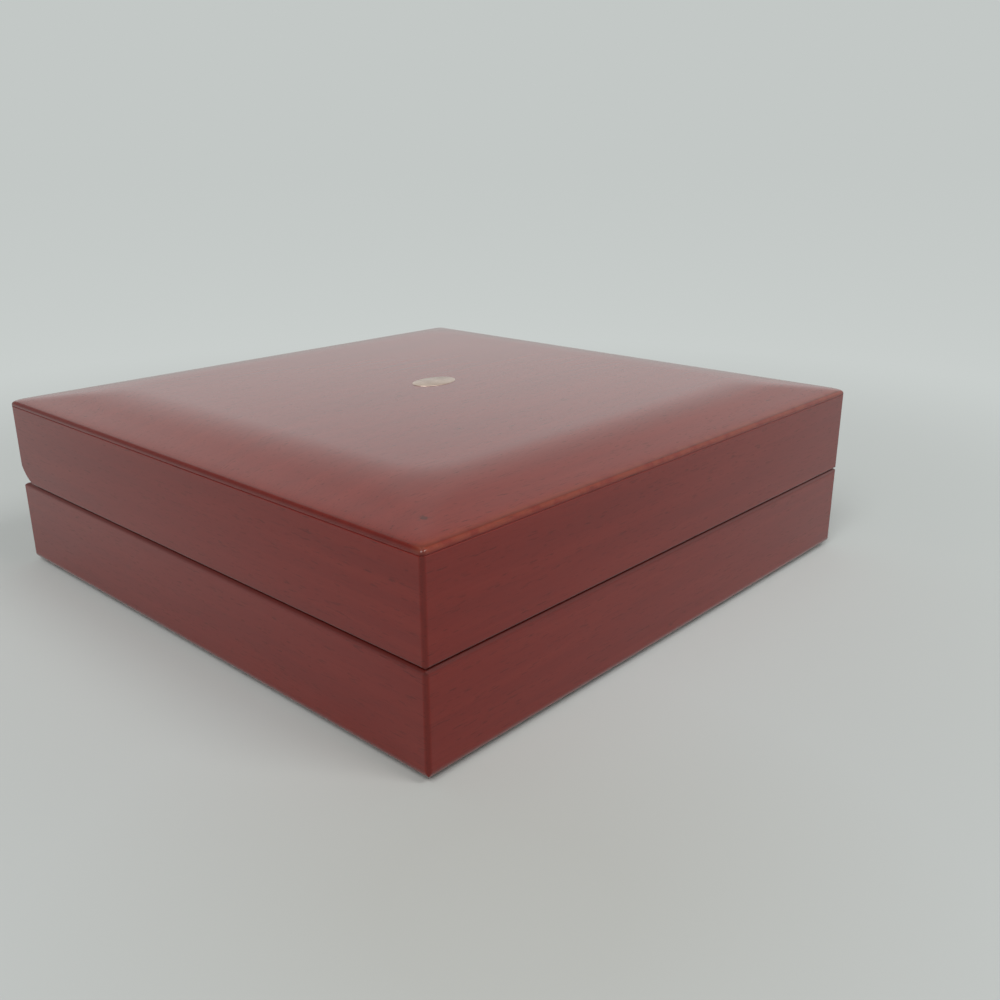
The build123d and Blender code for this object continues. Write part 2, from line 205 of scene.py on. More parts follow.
@dataclass(frozen=True)
class LacqueredMahogany:
    """Mahogany that is stained red-brown, sanded and sprayed with a satin lacquer.

    The stain sinks into the open pores, which show as short dark dashes along the grain. The lacquer lies
    flat over them, so the reflection is soft but even. Real pores are finer: these are drawn as coarse as
    they need to be to show. The levels of a pattern, from 0 to 1, say where its tones or marks start.
    """

    name: str
    grain: Grain
    edges: CaseEdges
    dark: str = "#6b1912"
    middle: str = "#701b13"
    light: str = "#751f16"
    pore: str = "#440f09"
    # A dark tint: stain round the knot and in the corners, painted shade in the seam, along the crease above
    # the arris and in the corners, and a darker left and right arris
    stain_and_shade: str = "#430f0a"
    # Stain thinned by sanding on the front and back arris, lightened further by a painted highlight
    rubbed_and_highlight: str = "#86402a"
    pore_share: float = 0.55
    figure_mm: tuple[float, float] = (80.0, 5.0)
    figure_share: float = 0.7
    ribbon_mm: tuple[float, float] = (50.0, 0.9)
    ribbon_share: float = 0.3
    tone_at: tuple[float, float, float] = (0.36, 0.50, 0.66)
    cluster_at: tuple[float, float] = (0.40, 0.60)
    between_clusters: float = 0.25
    pore_at: tuple[float, float] = (0.60, 0.70)
    pore_mm: tuple[float, float] = (3.2, 0.34)
    pore_depth_mm: float = 0.02
    pore_relief: float = 0.35
    pore_roughness: float = 0.2
    roughness: float = 0.42
    wood_ior: float = 1.5
    wood_gloss: float = 0.05
    lacquer: float = 1.0
    lacquer_ior: float = 1.41
    lacquer_roughness: float = 0.2
    knot_mm: tuple[float, float, float] = (-85.3, -85.6, 56.6)
    knot_radius_mm: float = 2.1
    knot_grit_mm: float = 0.8
    knot_raggedness: float = 1.6
    knot_fade: tuple[float, float] = (0.9, 1.5)
    knot_strength: float = 0.9
    bands: EdgeBands = EdgeBands()
    wear_mm: float = 4.0
    wear_at: tuple[float, float] = (0.38, 0.56)
    wear_least: float = 0.25
    rubbed_and_highlight_strength: float = 0.5
    arris_strength: float = 0.4
    crease_shade_strength: float = 0.4
    seam_shade_strength: float = 0.65
    corner_stain_and_shade_strength: float = 0.5

    def build(self) -> Material:
        """Builds the material.

        Returns:
            The finished material.
        """
        material, tree = new_material(self.name)
        place = add_node(tree, "TexCoord").outputs["Object"]
        turned = add_node(
            tree, "Mapping", {"Vector": place, "Rotation": (0, 0, math.radians(-self.grain.value))}
        )
        figure = self._streaks(tree, turned, self.figure_mm, detail=3.0, distortion=0.3)
        ribbon = self._streaks(tree, turned, self.ribbon_mm, detail=2.0, distortion=0.2)
        pores = self._streaks(tree, turned, self.pore_mm, detail=1.0, distortion=0.0)
        blend = add_node(tree, "Math", {0: figure, 1: self.figure_share}, operation="MULTIPLY")
        both = add_node(
            tree, "Math", {0: ribbon, 1: self.ribbon_share, 2: blend}, operation="MULTIPLY_ADD"
        )
        stain = add_node(
            tree, "ValToRGB", {"Fac": both}, stops=zip(self.tone_at, (self.dark, self.middle, self.light))
        )
        clusters = add_node(
            tree,
            "MapRange",
            {
                "Value": ribbon,
                **limits(self.cluster_at, (self.between_clusters * self.pore_share, self.pore_share)),
            },
        )
        pore_mask = add_node(
            tree,
            "MapRange",
            {"Value": pores, **limits(self.pore_at, (0.0, clusters))},
            interpolation_type="SMOOTHSTEP",
        )
        with_pores = add_node(
            tree, "Mix", {"Factor": pore_mask, "A": stain, "B": linear(self.pore)}, data_type="RGBA"
        )
        colour = self._knot(tree, place, with_pores.outputs["Result"])
        colour = self._edge_stain_and_shade(tree, place, colour)
        rough = add_node(
            tree,
            "MapRange",
            {"Value": pore_mask, "To Min": self.roughness, "To Max": self.roughness + self.pore_roughness},
        )
        relief = add_node(
            tree,
            "Bump",
            {"Height": pore_mask, "Strength": self.pore_relief, "Distance": self.pore_depth_mm * MM},
            invert=True,
        )
        shader = add_node(
            tree,
            "BsdfPrincipled",
            {
                "Base Color": colour,
                "Roughness": rough,
                "Normal": relief,
                "IOR": self.wood_ior,
                "Specular IOR Level": self.wood_gloss,
                "Coat Weight": self.lacquer,
                "Coat IOR": self.lacquer_ior,
                "Coat Roughness": self.lacquer_roughness,
            },
        )
        add_node(tree, "OutputMaterial", {"Surface": shader})
        return material

    def _streaks(
        self, tree: NodeTree, turned: Node, size_mm: tuple[float, float], detail: float, distortion: float
    ) -> Node:
        """Adds noise that is drawn out along the grain.

        Args:
            tree: the material's node tree.
            turned: the mapping that turns the grain to run along X.
            size_mm: the streaks' length and width in millimetres.
            detail: how much finer noise is added.
            distortion: how much the streaks waver.

        Returns:
            The noise node.
        """
        length, width = (1 / (mm * MM) for mm in size_mm)
        drawn = add_node(tree, "Mapping", {"Vector": turned, "Scale": (length, width, width)})
        return add_node(
            tree, "TexNoise", {"Vector": drawn, "Scale": 1.0, "Detail": detail, "Distortion": distortion}
        )

    def _band(self, tree: NodeTree, value: Node | NodeSocket, stops_mm: tuple[float, ...]) -> Node:
        """Makes a mask that rises between two places and, where two more are given, falls again.

        Args:
            tree: the material's node tree.
            value: the coordinate, in metres.
            stops_mm: where the mask starts to rise and is full, in millimetres, and where it starts to fall
                and is gone, if it ends.

        Returns:
            The mask, from 0 to 1.
        """
        slopes = [
            add_node(
                tree,
                "MapRange",
                {"Value": value, **limits((low * MM, high * MM), (before, 1.0 - before))},
                interpolation_type="SMOOTHSTEP",
            )
            for before, low, high in zip((0.0, 1.0), stops_mm[::2], stops_mm[1::2])
        ]
        if len(slopes) == 1:
            return slopes[0]
        return add_node(tree, "Math", {0: slopes[0], 1: slopes[1]}, operation="MULTIPLY")

    def _tinted(
        self, tree: NodeTree, colour: NodeSocket, masks: Iterable[Node], strength: float, tint: str
    ) -> NodeSocket:
        """Mixes a tint into the colour where several masks meet.

        Args:
            tree: the material's node tree.
            colour: the colour so far.
            masks: masks from 0 to 1 that are multiplied.
            strength: how much of the tint there is at most.
            tint: the tint, as sRGB hex.

        Returns:
            The tinted colour.
        """
        share: Node | float = strength
        for mask in masks:
            share = add_node(tree, "Math", {0: mask, 1: share}, operation="MULTIPLY")
        mixed = add_node(tree, "Mix", {"Factor": share, "A": colour, "B": linear(tint)}, data_type="RGBA")
        return mixed.outputs["Result"]

    def _knot(self, tree: NodeTree, place: NodeSocket, colour: NodeSocket) -> NodeSocket:
        """Adds the pin knot near the front left corner of the top board.

        Args:
            tree: the material's node tree.
            place: the object coordinates.
            colour: the colour so far.

        Returns:
            The colour with the knot.
        """
        centre = tuple(mm * MM for mm in self.knot_mm)
        radius = self.knot_radius_mm * MM
        grit = add_node(
            tree, "TexNoise", {"Vector": place, "Scale": 1 / (self.knot_grit_mm * MM), "Detail": 2.0}
        )
        away = add_node(tree, "VectorMath", {0: place, 1: centre}, operation="DISTANCE")
        ragged = add_node(
            tree,
            "Math",
            {0: grit, 1: self.knot_raggedness * radius, 2: away.outputs["Value"]},
            operation="MULTIPLY_ADD",
        )
        mask = add_node(
            tree,
            "MapRange",
            {"Value": ragged, **limits(tuple(share * radius for share in self.knot_fade), (1.0, 0.0))},
            interpolation_type="SMOOTHSTEP",
        )
        return self._tinted(tree, colour, (mask,), self.knot_strength, self.stain_and_shade)

    def _edge_stain_and_shade(self, tree: NodeTree, place: NodeSocket, colour: NodeSocket) -> NodeSocket:
        """Tints the edges: painted shade in the seam and along the crease above the arris, stain and painted
        shade in the vertical corners, a darker left and right arris, and a lighter front and back arris.

        Sanding along the grain thins the stain on the front and back arris, which then looks orange; a
        painted highlight lightens it further.

        Args:
            tree: the material's node tree.
            place: the object coordinates.
            colour: the colour so far.

        Returns:
            The colour with its edges.
        """
        edges, bands = self.edges, self.bands
        axes = add_node(tree, "SeparateXYZ", {0: place}).outputs
        wide, deep = (
            add_node(tree, "Math", {0: axes[name]}, operation="ABSOLUTE") for name in ("X", "Y")
        )
        reach, girth = (
            add_node(tree, "Math", {0: wide, 1: deep}, operation=operation)
            for operation in ("MAXIMUM", "ADD")
        )
        # The corner band tints the vertical corners with stain and painted shade
        outside, corner, front, side = (
            self._band(tree, value, tuple(far - inwards for inwards in band))
            for value, far, band in (
                (reach, edges.half, bands.outside),
                (girth, 2 * edges.half, bands.corner),
                (deep, edges.half, bands.front),
                (wide, edges.half, bands.side),
            )
        )
        # Painted shade: the seam band darkens the base's rim just under the lid's lower edge
        seam = self._band(tree, axes["Z"], tuple(edges.seam + up for up in bands.seam))
        # Painted shade: a thin dark line along the crease where the arris round meets the bevel
        line = self._band(tree, axes["Z"], tuple(edges.eave + up for up in bands.line))
        thin_edge = tuple(edges.joint + up for up in bands.joint)
        # The above band carries the sanded stain and painted highlight of the front and back arris up onto
        # the bevel; the arris band gives the darker left and right arris
        arris, above = (
            self._band(tree, axes["Z"], (*thin_edge, edges.eave, edges.eave + fade))
            for fade in (bands.arris_fade, bands.rubbed_and_highlight_fade)
        )
        wear = add_node(
            tree, "TexNoise", {"Vector": place, "Scale": 1 / (self.wear_mm * MM), "Detail": 4.0}
        )
        broken = add_node(
            tree, "MapRange", {"Value": wear, **limits(self.wear_at, (self.wear_least, 1.0))}
        )
        for masks, strength, tint in (
            ((above, front, broken), self.rubbed_and_highlight_strength, self.rubbed_and_highlight),
            ((arris, side), self.arris_strength, self.stain_and_shade),
            ((line,), self.crease_shade_strength, self.stain_and_shade),
            ((seam, outside), self.seam_shade_strength, self.stain_and_shade),
            ((corner,), self.corner_stain_and_shade_strength, self.stain_and_shade),
        ):
            colour = self._tinted(tree, colour, masks, strength, tint)
        return colour


@dataclass(frozen=True)
class Pile:
    """A cloth with a short pile, such as velvet, suede cloth or felt.

    The pile scatters light back at grazing angles, so edges look lighter, and it lies in patches that
    shade the colour a little. Its fibres are drawn coarser than real ones, so that they show.
    """

    name: str
    base: str
    shaded: str
    patch_mm: float = 14.0
    fibre_mm: float = 0.45
    fibre_share: float = 0.45
    tone_at: tuple[float, float] = (0.50, 0.88)
    pile_depth_mm: float = 0.12
    pile_relief: float = 0.6
    roughness: float = 0.95
    gloss: float = 0.2
    sheen: float = 0.55
    sheen_roughness: float = 0.4

    def build(self) -> Material:
        """Builds the material.

        Returns:
            The finished material.
        """
        material, tree = new_material(self.name)
        place = add_node(tree, "TexCoord").outputs["Object"]
        patches, fibres = (
            add_node(tree, "TexNoise", {"Vector": place, "Scale": 1 / (size * MM), "Detail": detail})
            for size, detail in ((self.patch_mm, 3.0), (self.fibre_mm, 2.0))
        )
        nap = add_node(
            tree, "Math", {0: fibres, 1: self.fibre_share, 2: patches}, operation="MULTIPLY_ADD"
        )
        colour = add_node(
            tree, "ValToRGB", {"Fac": nap}, stops=zip(self.tone_at, (self.shaded, self.base))
        )
        relief = add_node(
            tree,
            "Bump",
            {"Height": fibres, "Strength": self.pile_relief, "Distance": self.pile_depth_mm * MM},
        )
        shader = add_node(
            tree,
            "BsdfPrincipled",
            {
                "Base Color": colour,
                "Roughness": self.roughness,
                "Specular IOR Level": self.gloss,
                "Normal": relief,
                "Sheen Weight": self.sheen,
                "Sheen Roughness": self.sheen_roughness,
            },
        )
        add_node(tree, "OutputMaterial", {"Surface": shader})
        return material


@dataclass(frozen=True)
class SatinCloth:
    """A satin-woven lining with long floating threads, which give it a soft directional shine.

    Real threads are about 0.1 mm apart. They are drawn 0.4 mm apart, so that they show in the render.
    """

    name: str
    base: str = "#dfd3bc"
    shaded: str = "#d6cab3"
    thread_mm: float = 0.4
    thread_waver: float = 0.4
    thread_share: float = 0.2
    thread_depth_mm: float = 0.03
    thread_relief: float = 0.4
    slub_mm: tuple[float, float] = (60.0, 2.4)
    tone_at: tuple[float, float] = (0.35, 0.75)
    roughness: float = 0.34
    anisotropy: float = 0.6
    sheen: float = 0.25
    sheen_roughness: float = 0.3

    def build(self) -> Material:
        """Builds the material.

        Returns:
            The finished material.
        """
        material, tree = new_material(self.name)
        place = add_node(tree, "TexCoord").outputs["Object"]
        warp = add_node(
            tree,
            "TexWave",
            {
                "Vector": place,
                "Scale": 1 / (self.thread_mm * MM) / math.tau,
                "Distortion": self.thread_waver,
            },
            bands_direction="X",
        ).outputs["Fac"]
        length, width = (1 / (mm * MM) for mm in self.slub_mm)
        floats = add_node(tree, "Mapping", {"Vector": place, "Scale": (width, length, width)})
        slubs = add_node(tree, "TexNoise", {"Vector": floats, "Scale": 1.0, "Detail": 3.0})
        tone = add_node(tree, "Math", {0: warp, 1: self.thread_share, 2: slubs}, operation="MULTIPLY_ADD")
        colour = add_node(
            tree, "ValToRGB", {"Fac": tone}, stops=zip(self.tone_at, (self.shaded, self.base))
        )
        relief = add_node(
            tree,
            "Bump",
            {"Height": warp, "Strength": self.thread_relief, "Distance": self.thread_depth_mm * MM},
        )
        shader = add_node(
            tree,
            "BsdfPrincipled",
            {
                "Base Color": colour,
                "Roughness": self.roughness,
                "Anisotropic": self.anisotropy,
                "Normal": relief,
                "Sheen Weight": self.sheen,
                "Sheen Roughness": self.sheen_roughness,
            },
        )
        add_node(tree, "OutputMaterial", {"Surface": shader})
        return material


@dataclass(frozen=True)
class DrawnMetal:
    """Drawn or turned metal with fine tool lines, polished and then lightly handled.

    The lines break its gleam into thin streaks, and handling dulls it in soft patches. The lines are drawn
    coarser than real ones, so that they show.
    """

    name: str
    base: str
    dull: str
    roughness: float
    line_mm: tuple[float, float] = (9.0, 0.25)
    line_at: tuple[float, float] = (0.3, 0.7)
    line_depth_mm: float = 0.005
    line_relief: float = 0.3
    smoother: float = 0.06
    rougher: float = 0.1
    tarnish_mm: float = 5.0
    tarnish_at: tuple[float, float] = (0.38, 0.58)

    def build(self) -> Material:
        """Builds the material.

        Returns:
            The finished material.
        """
        material, tree = new_material(self.name)
        place = add_node(tree, "TexCoord").outputs["Object"]
        length, width = (1 / (mm * MM) for mm in self.line_mm)
        drawn = add_node(tree, "Mapping", {"Vector": place, "Scale": (length, width, width)})
        lines = add_node(tree, "TexNoise", {"Vector": drawn, "Scale": 1.0, "Detail": 3.0})
        tarnish = add_node(
            tree, "TexNoise", {"Vector": place, "Scale": 1 / (self.tarnish_mm * MM), "Detail": 4.0}
        )
        colour = add_node(
            tree, "ValToRGB", {"Fac": tarnish}, stops=zip(self.tarnish_at, (self.dull, self.base))
        )
        rough = add_node(
            tree,
            "MapRange",
            {
                "Value": lines,
                **limits(self.line_at, (self.roughness - self.smoother, self.roughness + self.rougher)),
            },
        )
        relief = add_node(
            tree,
            "Bump",
            {"Height": lines, "Strength": self.line_relief, "Distance": self.line_depth_mm * MM},
        )
        shader = add_node(
            tree,
            "BsdfPrincipled",
            {"Base Color": colour, "Metallic": 1.0, "Roughness": rough, "Normal": relief},
        )
        add_node(tree, "OutputMaterial", {"Surface": shader})
        return material


@dataclass(frozen=True)
class PaintedFloor:
    """Matt paint, which shows a soft shadow and no gloss, and fades into the backdrop's colour far away."""

    name: str = "matt_floor_paint"
    # The paint is darker round shaded_at_m, in front of the object, and lighter towards the sides: a painted
    # shade
    shaded: str = "#b8bab6"
    near: str = "#c0c4c2"
    side: str = "#c5cac8"
    beyond: str = "#c9cecc"
    far: str = "#c3c8c6"
    shade_at: tuple[float, float, float] = (0.1, 0.4, 1.0)
    haze_at: tuple[float, float] = (0.05, 1.0)
    roughness: float = 0.7
    gloss: float = 0.15
    fade_from_m: float = 0.14
    fade_to_m: float = 0.42
    shaded_at_m: tuple[float, float, float] = (-0.11, -0.13, 0.0)
    side_m: float = 0.22

    def build(self) -> Material:
        """Builds the material.

        Returns:
            The finished material.
        """
        material, tree = new_material(self.name)
        place = add_node(tree, "TexCoord").outputs["Object"]
        away = add_node(tree, "VectorMath", {0: place}, operation="LENGTH")
        fade = add_node(
            tree,
            "MapRange",
            {"Value": away.outputs["Value"], **limits((self.fade_from_m, self.fade_to_m))},
            interpolation_type="SMOOTHSTEP",
        )
        path = add_node(tree, "LightPath").outputs
        seen = path["Is Camera Ray"]
        for ray in ("Is Glossy Ray", "Is Transmission Ray"):
            seen = add_node(tree, "Math", {0: seen, 1: path[ray]}, operation="MAXIMUM")
        factor = add_node(tree, "Math", {0: fade, 1: seen}, operation="MULTIPLY")
        # Painted shade: the paint is darker round shaded_at_m and lighter towards the sides
        aside = add_node(tree, "VectorMath", {0: place, 1: self.shaded_at_m}, operation="DISTANCE")
        spread = add_node(tree, "MapRange", {"Value": aside.outputs["Value"], "From Max": self.side_m})
        shade = add_node(
            tree,
            "ValToRGB",
            {"Fac": spread},
            stops=zip(self.shade_at, (self.shaded, self.near, self.side)),
        )
        paint = add_node(
            tree,
            "BsdfPrincipled",
            {"Base Color": shade, "Roughness": self.roughness, "Specular IOR Level": self.gloss},
        )
        nearness = add_node(
            tree, "Math", {0: self.fade_to_m, 1: away.outputs["Value"]}, operation="DIVIDE"
        )
        tone = add_node(
            tree, "ValToRGB", {"Fac": nearness}, stops=zip(self.haze_at, (self.far, self.beyond))
        )
        haze = add_node(tree, "Emission", {"Color": tone, "Strength": 1.0})
        shader = add_node(tree, "MixShader", {0: factor, 1: paint, 2: haze})
        add_node(tree, "OutputMaterial", {"Surface": shader})
        return material


class Piece:
    """One new mesh that is modelled in edit mode, in the frame's own place."""

    def __init__(self, name: str) -> None:
        """Takes the primitive that was just added, and applies its place and size.

        Args:
            name: the piece's name.
        """
        self.obj = bpy.context.object
        self.obj.name = name
        self.obj.data.name = name
        bpy.ops.object.transform_apply(location=True, rotation=True, scale=True)

    @classmethod
    def from_box(cls, name: str, low: Vector, high: Vector) -> Piece:
        """Starts a piece as a box from one corner to the other.

        Args:
            name: the piece's name.
            low: the lowest corner, in metres.
            high: the highest corner, in metres.

        Returns:
            The piece.
        """
        bpy.ops.object.select_all(action="DESELECT")
        bpy.ops.mesh.primitive_cube_add(size=1, location=(low + high) / 2)
        bpy.context.object.scale = high - low
        return cls(name)

    @classmethod
    def from_disc(cls, name: str, low: Vector, high: Vector) -> Piece:
        """Starts a piece as an upright oval plate that fills the box from one corner to the other.

        Args:
            name: the piece's name.
            low: the lowest corner, in metres.
            high: the highest corner, in metres.

        Returns:
            The piece.
        """
        bpy.ops.object.select_all(action="DESELECT")
        bpy.ops.mesh.primitive_cylinder_add(vertices=96, radius=0.5, depth=1, location=(low + high) / 2)
        bpy.context.object.scale = high - low
        return cls(name)

    def edit(self) -> None:
        """Opens edit mode with nothing selected."""
        bpy.ops.object.mode_set(mode="EDIT")
        bpy.ops.mesh.select_all(action="DESELECT")

    def done(self) -> None:
        """Leaves edit mode."""
        bpy.ops.object.mode_set(mode="OBJECT")

    def pick_faces(self, wanted: Callable[[bmesh.types.BMFace], bool]) -> None:
        """Selects the faces that a test picks, and no others.

        Args:
            wanted: the test, which is given each face.
        """
        bpy.ops.mesh.select_mode(type="FACE")
        bpy.ops.mesh.select_all(action="DESELECT")
        mesh = bmesh.from_edit_mesh(self.obj.data)
        for face in mesh.faces:
            face.select_set(wanted(face))
        mesh.select_flush_mode()
        bmesh.update_edit_mesh(self.obj.data)

    def pick_edges(self, wanted: Callable[[Vector, Vector], bool]) -> None:
        """Selects the edges that a test picks, and no others.

        Args:
            wanted: the test, which is given the edge's two ends.
        """
        bpy.ops.mesh.select_mode(type="EDGE")
        bpy.ops.mesh.select_all(action="DESELECT")
        mesh = bmesh.from_edit_mesh(self.obj.data)
        for edge in mesh.edges:
            edge.select_set(wanted(edge.verts[0].co, edge.verts[1].co))
        mesh.select_flush_mode()
        bmesh.update_edit_mesh(self.obj.data)

    def modify(self, kind: str, **settings: object) -> None:
        """Adds a modifier, and applies it.

        Args:
            kind: the modifier's type name.
            settings: the modifier's properties.
        """
        modifier = self.obj.modifiers.new(kind.lower(), kind)
        for name, value in settings.items():
            setattr(modifier, name, value)
        bpy.ops.object.select_all(action="DESELECT")
        bpy.context.view_layer.objects.active = self.obj
        self.obj.select_set(True)
        bpy.ops.object.modifier_apply(modifier=modifier.name)

    def smooth(self, degrees: float) -> None:
        """Shades the piece smooth, apart from its sharp edges.

        Args:
            degrees: the angle from which an edge is sharp.
        """
        bpy.ops.object.select_all(action="DESELECT")
        bpy.context.view_layer.objects.active = self.obj
        self.obj.select_set(True)
        bpy.ops.object.shade_smooth_by_angle(angle=math.radians(degrees))

    def move_points(self, moved: Callable[[Vector], Vector]) -> None:
        """Moves each point.

        Args:
            moved: gives a point's new place for its old one.
        """
        for point in self.obj.data.vertices:
            point.co = moved(point.co.copy())
        self.obj.data.update()

    def inflate(
        self, pressure: float, cap: float, glued: Callable[[Vector], bool], frames: int = 20
    ) -> None:
        """Swells the piece as a sewn cover that is filled with foam.

        Args:
            pressure: the pressure inside the cover.
            cap: the furthest that a point may move, in metres.
            glued: picks the points that stay where they are.
            frames: how many steps the swelling takes.
        """
        # The points before the swelling, from which each one's way is measured and capped
        before = [point.co.copy() for point in self.obj.data.vertices]
        group = self.obj.vertex_groups.new(name="glued")
        group.add([i for i, co in enumerate(before) if glued(co)], 1.0, "REPLACE")
        cloth = self.obj.modifiers.new("cover", "CLOTH")
        for name, value in {
            "quality": 6,
            "mass": 0.2,
            "tension_stiffness": 12,
            "compression_stiffness": 12,
            "bending_stiffness": 0.4,
            "use_pressure": True,
            "uniform_pressure_force": pressure,
            "vertex_group_mass": group.name,
        }.items():
            setattr(cloth.settings, name, value)
        cloth.settings.effector_weights.gravity = 0
        cloth.point_cache.frame_start = 1
        cloth.point_cache.frame_end = frames
        scene = bpy.context.scene
        for number in range(1, frames + 1):
            scene.frame_set(number)
        shaped = self.obj.evaluated_get(bpy.context.evaluated_depsgraph_get())
        swollen = [point.co.copy() for point in shaped.data.vertices]
        self.obj.modifiers.remove(cloth)
        self.obj.vertex_groups.remove(group)
        for point, old, new in zip(self.obj.data.vertices, before, swollen):
            step = new - old
            point.co = old + (step * (cap / step.length) if step.length > cap else step)
        scene.frame_set(1)
        self.obj.data.update()

    def dress(self, material: Material, body: str, slot: str, *nodes: str) -> None:
        """Gives the piece its finish, and puts it on its body in place of nodes of the frame.

        Args:
            material: the finish.
            body: the body that carries the piece.
            slot: the record's material slot; it is not used.
            nodes: the frame's nodes that the piece stands for.
        """
        self.obj.data.materials.clear()
        self.obj.data.materials.append(material)
        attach(self.obj, body)
        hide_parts(*nodes)
        log.info("%s stands for %s", self.obj.name, ", ".join(nodes))


def paint_nodes(material: Material, *nodes: str) -> None:
    """Gives nodes of the frame a finish.

    Args:
        material: the finish.
        nodes: the nodes' names.
    """
    for name in nodes:
        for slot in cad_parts[name].material_slots:
            slot.material = material
        log.info("%s has %s", name, material.name)


class Finishes:
    """Every finish of the case, each built once."""

    def __init__(self) -> None:
        """Builds the materials."""
        edges = CaseEdges.from_frame(Lid.pillow_rise)
        self.wood_x = LacqueredMahogany("mahogany_lacquered_along_x", Grain.ALONG_X, edges).build()
        self.wood_y = LacqueredMahogany("mahogany_lacquered_along_y", Grain.ALONG_Y, edges).build()
        self.wood_top = LacqueredMahogany(
            "mahogany_lacquered_top_board", Grain.ALONG_X, edges, pore="#3f0d08", pore_share=0.7
        ).build()
        self.velvet = Pile("velvet_ivory_tray", "#d6cab4", "#c7baa2", patch_mm=22.0).build()
        self.roll_velvet = Pile("velvet_ivory_ring_roll", "#dacdb7", "#cabda5", patch_mm=12.0).build()
        self.felt = Pile("felt_black_underside", "#2b2927", "#1b1a19", sheen=0.2).build()
        self.satin = SatinCloth("satin_ivory_lid_lining").build()
        self.brass = DrawnMetal("brass_drawn_hinge", "#d1b06c", "#b2904f", 0.24).build()
        self.screw = DrawnMetal("brass_turned_screw", "#e2c88f", "#c7a96b", 0.18, line_mm=(0.7, 0.7)).build()
        self.inlay = DrawnMetal("brass_silvered_inlay", "#cab9ac", "#bba99c", 0.3).build()
        self.nickel = DrawnMetal("steel_nickelled_magnet", "#c4c1ba", "#a19e98", 0.2).build()


